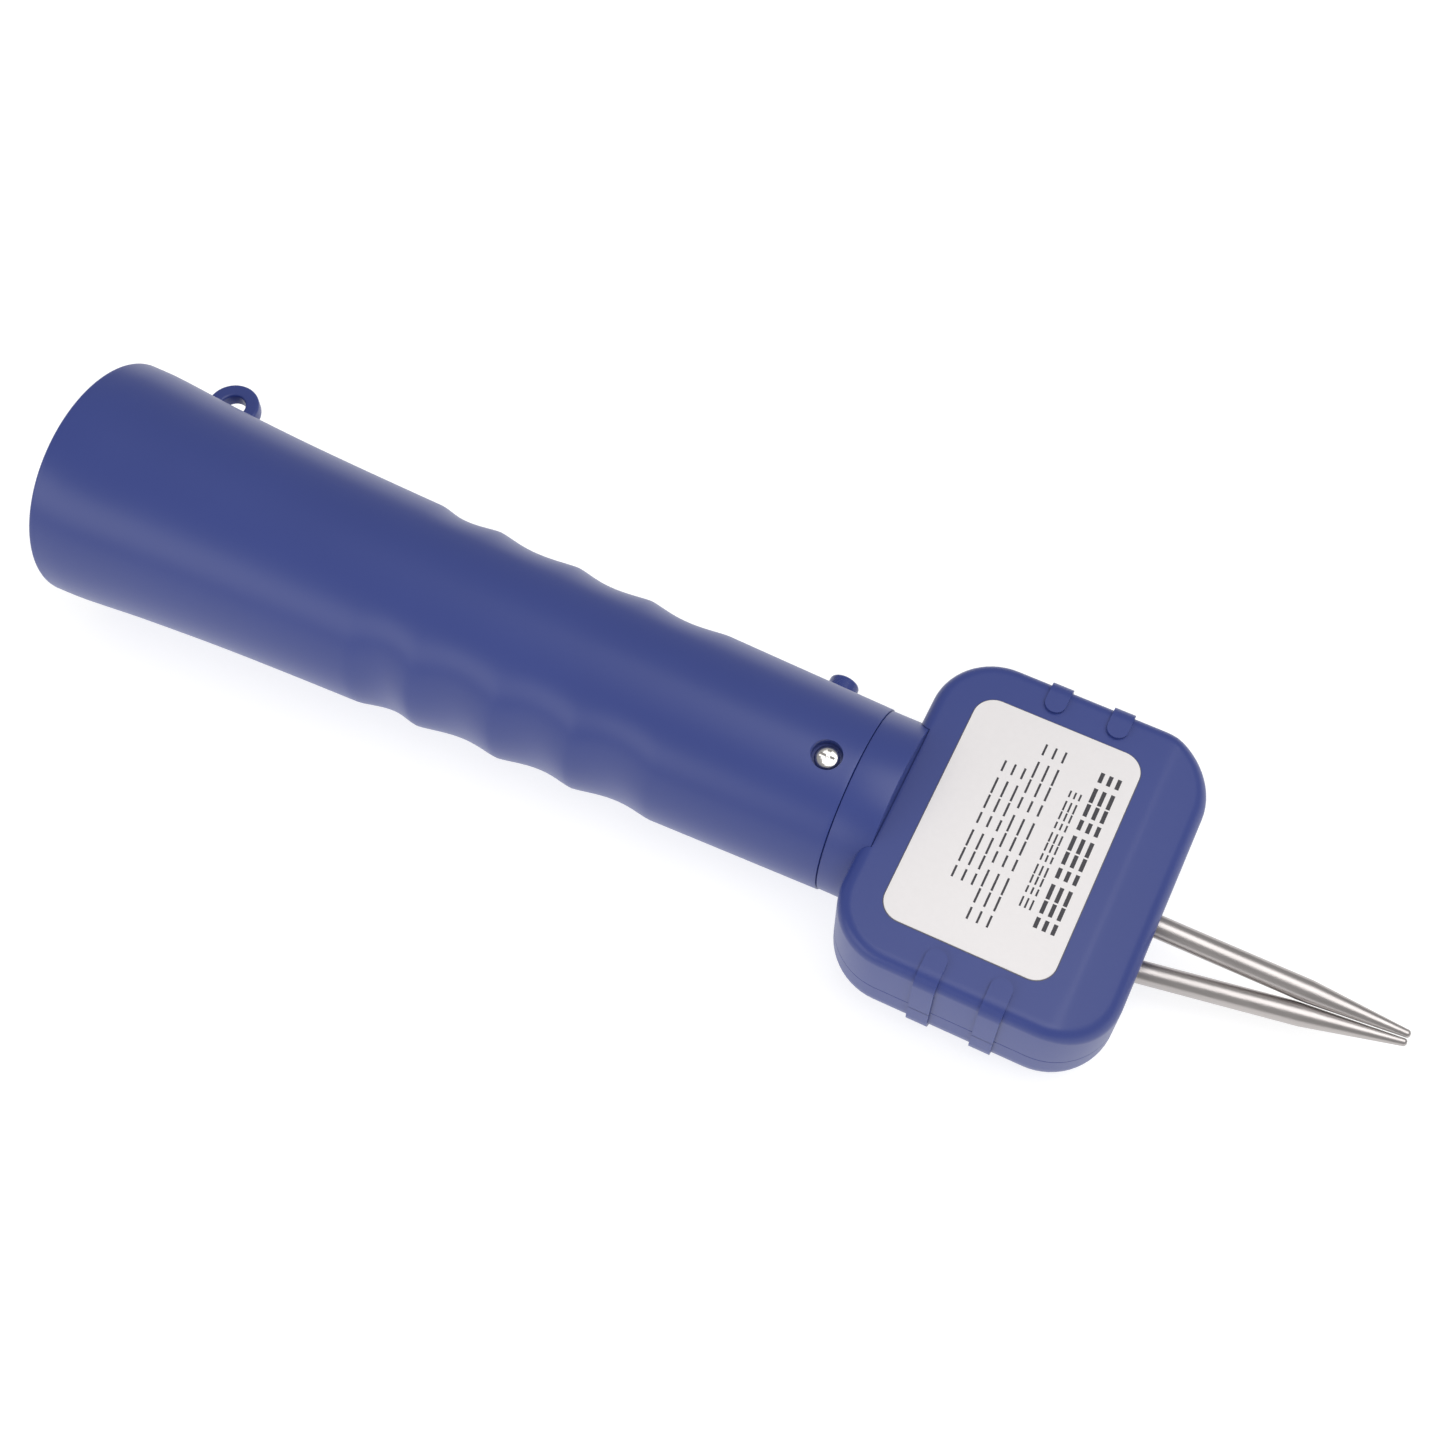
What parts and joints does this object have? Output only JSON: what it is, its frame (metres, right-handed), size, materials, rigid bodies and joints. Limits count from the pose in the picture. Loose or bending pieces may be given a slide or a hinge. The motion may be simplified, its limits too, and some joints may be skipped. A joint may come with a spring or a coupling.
{
  "type": "electric plucking tweezers",
  "caption": "Hand-held rechargeable plucking tweezers: long flared grip with push button and lanyard loop, turned collar, flat box head and a pair of tapered steel jaws.",
  "frame": {"origin": "bottom centre of the tool's box: half way between the flat butt end and the jaw tips, level with the lowest line of the handle's flared end", "axes": "+X along the tool towards the jaw tips, +Y towards the side with the push button and the lanyard loop, +Z out of the head's label face"},
  "size_m": [0.3397, 0.0824, 0.061],
  "materials": {
    "body_plastic": "satin moulded, fine spark texture",
    "button_plastic": "smooth moulded",
    "label_film": "printed film",
    "black_plastic": "moulded",
    "lens": "clear moulded",
    "cell_wrap": "shrink film",
    "circuit_board": "solder mask",
    "jaw_steel": "ground lengthwise",
    "screw_steel": "nickel plated",
    "motor_steel": "plated sheet",
    "cast_alloy": "as cast",
    "red_wire": "insulation",
    "black_wire": "insulation"
  },
  "bodies": {
    "housing": {"handle_tube": "body_plastic", "lanyard_loop": "body_plastic", "butt_cap": "body_plastic", "charge_socket": "black_plastic", "charge_lens": "lens", "battery_cell_1": "cell_wrap", "battery_cell_2": "cell_wrap", "battery_cell_3": "cell_wrap", "cell_spacer_front": "black_plastic", "cell_spacer_rear": "black_plastic", "motor_can": "motor_steel", "gearbox": "cast_alloy", "motor_screw_1": "screw_steel", "motor_screw_2": "screw_steel", "control_board": "circuit_board", "tact_switch": "black_plastic", "battery_lead_red": "red_wire", "battery_lead_black": "black_wire", "charge_lead": "black_wire", "motor_lead_red": "red_wire", "motor_lead_black": "black_wire", "neck_collar": "body_plastic", "neck_screw_front": "screw_steel", "neck_screw_rear": "screw_steel", "front_cover": "body_plastic", "rear_cover": "body_plastic", "cover_screw_1": "screw_steel", "cover_screw_2": "screw_steel", "cover_screw_3": "screw_steel", "cover_screw_4": "screw_steel", "label": "label_film", "jaw_block": "cast_alloy", "fixed_jaw": "jaw_steel", "fixed_jaw_grub_screw": "screw_steel", "pivot_pin": "jaw_steel"},
    "button": {"power_button": "button_plastic"},
    "crank": {"output_shaft": "jaw_steel", "eccentric_cam": "jaw_steel", "cam_grub_screw": "screw_steel"},
    "jaw_arm": {"jaw_rocker": "cast_alloy", "moving_jaw": "jaw_steel", "moving_jaw_grub_screw": "screw_steel"}
  },
  "joints": [
    {"name": "button_press", "type": "slide", "parent": "housing", "child": "button", "axis": [0, -1, 0], "range_m": [0, 0.0008], "stiffness_N_per_m": 1500},
    {"name": "crank_turn", "type": "hinge", "parent": "housing", "child": "crank", "pos_m": [0.0653, 0, 0.03048], "axis": [1, 0, 0], "continuous": true},
    {"name": "jaw_open", "type": "hinge", "parent": "housing", "child": "jaw_arm", "pos_m": [0.0838, -0.00953, 0.02498], "axis": [0, 0.5, -0.866], "range_deg": [0, 5]}
  ]
}
